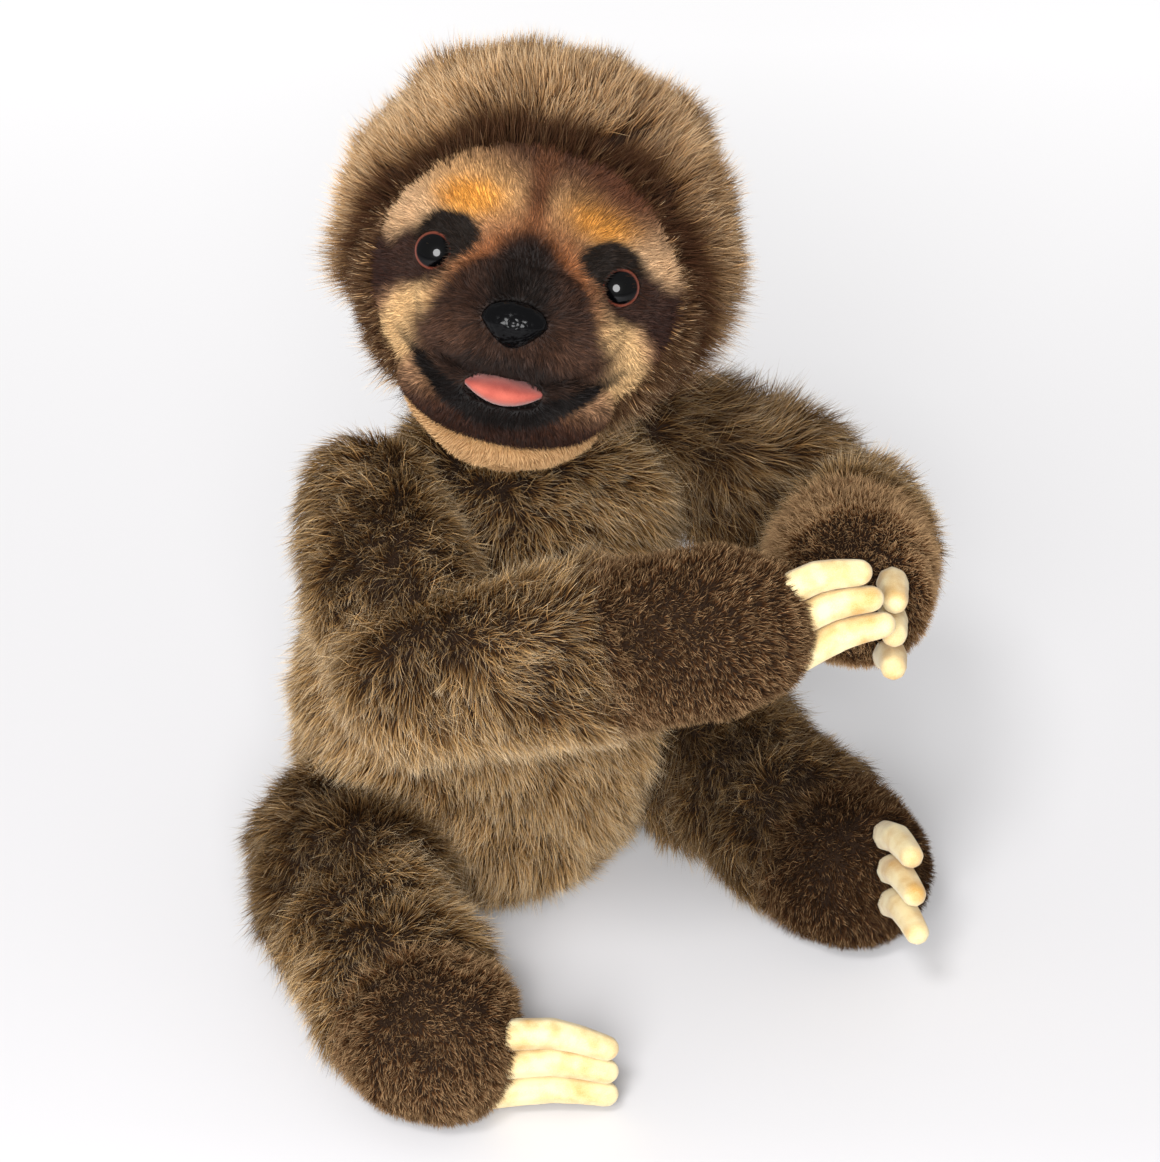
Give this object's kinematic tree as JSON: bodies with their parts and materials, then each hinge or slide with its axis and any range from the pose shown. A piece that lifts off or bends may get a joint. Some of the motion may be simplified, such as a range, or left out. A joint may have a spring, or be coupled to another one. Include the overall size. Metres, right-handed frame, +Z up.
{
  "type": "plush sloth",
  "caption": "Plush sloth sitting with legs out and arms bent in front, with turning head and bending limbs, felt claws, plastic eyes and nose.",
  "frame": {"origin": "middle of the seat, on the surface that the sloth sits on", "axes": "+Z up, -Y the way the torso faces, +X the sloth's own left"},
  "size_m": [0.2486, 0.2256, 0.2942],
  "materials": {
    "long_pile_fur": "taupe-brown faux fur, long pile with dark roots and pale tips",
    "short_pile_paw": "dark brown faux fur, short dense pile",
    "face_plush": "cream short plush, airbrushed orange and dark brown",
    "muzzle_plush": "blackish brown short plush",
    "bib_plush": "tan short plush",
    "claw_felt": "cream felt, filled",
    "tongue_felt": "salmon felt",
    "eye_plastic": "polished black dome with a thin brown ring",
    "nose_vinyl": "pebbled black gloss",
    "washer_plastic": "natural white moulding",
    "armature_wire": "annealed steel wire"
  },
  "bodies": {
    "torso": {"torso": "long_pile_fur", "body_wire": "armature_wire"},
    "neck": {"neck": "long_pile_fur", "neck_wire": "armature_wire"},
    "head": {"head": "long_pile_fur", "face_mask": "face_plush", "muzzle": "muzzle_plush", "tongue": "tongue_felt", "lower_lip": "muzzle_plush", "throat_bib": "bib_plush", "eye_right": "eye_plastic", "eye_left": "eye_plastic", "eye_washer_right": "washer_plastic", "eye_washer_left": "washer_plastic", "nose": "nose_vinyl", "nose_washer": "washer_plastic"},
    "upper_arm_right": {"upper_arm_right": "long_pile_fur", "upper_arm_wire_right": "armature_wire"},
    "forearm_right": {"forearm_right": "long_pile_fur", "forearm_wire_right": "armature_wire", "hand_right": "short_pile_paw", "hand_claw_right_1": "claw_felt", "hand_claw_right_2": "claw_felt", "hand_claw_right_3": "claw_felt"},
    "thigh_right": {"thigh_right": "long_pile_fur", "thigh_wire_right": "armature_wire"},
    "shin_right": {"shin_right": "long_pile_fur", "shin_wire_right": "armature_wire", "foot_right": "short_pile_paw", "foot_claw_right_1": "claw_felt", "foot_claw_right_2": "claw_felt", "foot_claw_right_3": "claw_felt"},
    "upper_arm_left": {"upper_arm_left": "long_pile_fur", "upper_arm_wire_left": "armature_wire"},
    "forearm_left": {"forearm_left": "long_pile_fur", "forearm_wire_left": "armature_wire", "hand_left": "short_pile_paw", "hand_claw_left_1": "claw_felt", "hand_claw_left_2": "claw_felt", "hand_claw_left_3": "claw_felt"},
    "thigh_left": {"thigh_left": "long_pile_fur", "thigh_wire_left": "armature_wire"},
    "shin_left": {"shin_left": "long_pile_fur", "shin_wire_left": "armature_wire", "foot_left": "short_pile_paw", "foot_claw_left_1": "claw_felt", "foot_claw_left_2": "claw_felt", "foot_claw_left_3": "claw_felt"}
  },
  "joints": [
    {"name": "neck_turn", "type": "hinge", "parent": "torso", "child": "neck", "pos_m": [-0.004, -0.021, 0.167], "axis": [0, 0, 1], "range_deg": [-20, 60]},
    {"name": "head_nod", "type": "hinge", "parent": "neck", "child": "head", "pos_m": [-0.004, -0.021, 0.188], "axis": [0.788, -0.6157, 0], "range_deg": [-12, 12]},
    {"name": "shoulder_right", "type": "hinge", "parent": "torso", "child": "upper_arm_right", "pos_m": [-0.056, -0.02, 0.166], "axis": [0, 0, -1], "range_deg": [0, 35]},
    {"name": "elbow_right", "type": "hinge", "parent": "upper_arm_right", "child": "forearm_right", "pos_m": [-0.08078, -0.08808, 0.14659], "axis": [0.33, 0.1458, -0.9326], "range_deg": [0, 30]},
    {"name": "hip_right", "type": "hinge", "parent": "torso", "child": "thigh_right", "pos_m": [-0.069, -0.013, 0.034], "axis": [0, 0, -1], "range_deg": [0, 25]},
    {"name": "knee_right", "type": "hinge", "parent": "thigh_right", "child": "shin_right", "pos_m": [-0.08269, -0.05777, 0.0299], "axis": [0, 0, -1], "range_deg": [0, 20]},
    {"name": "shoulder_left", "type": "hinge", "parent": "torso", "child": "upper_arm_left", "pos_m": [0.056, -0.02, 0.156], "axis": [0, 0, 1], "range_deg": [0, 35]},
    {"name": "elbow_left", "type": "hinge", "parent": "upper_arm_left", "child": "forearm_left", "pos_m": [0.10912, -0.0615, 0.12312], "axis": [0.4891, -0.0632, 0.8699], "range_deg": [0, 30]},
    {"name": "hip_left", "type": "hinge", "parent": "torso", "child": "thigh_left", "pos_m": [0.069, -0.013, 0.034], "axis": [0, 0, 1], "range_deg": [0, 25]},
    {"name": "knee_left", "type": "hinge", "parent": "thigh_left", "child": "shin_left", "pos_m": [0.07063, -0.05979, 0.0299], "axis": [0, 0, 1], "range_deg": [0, 20]}
  ]
}
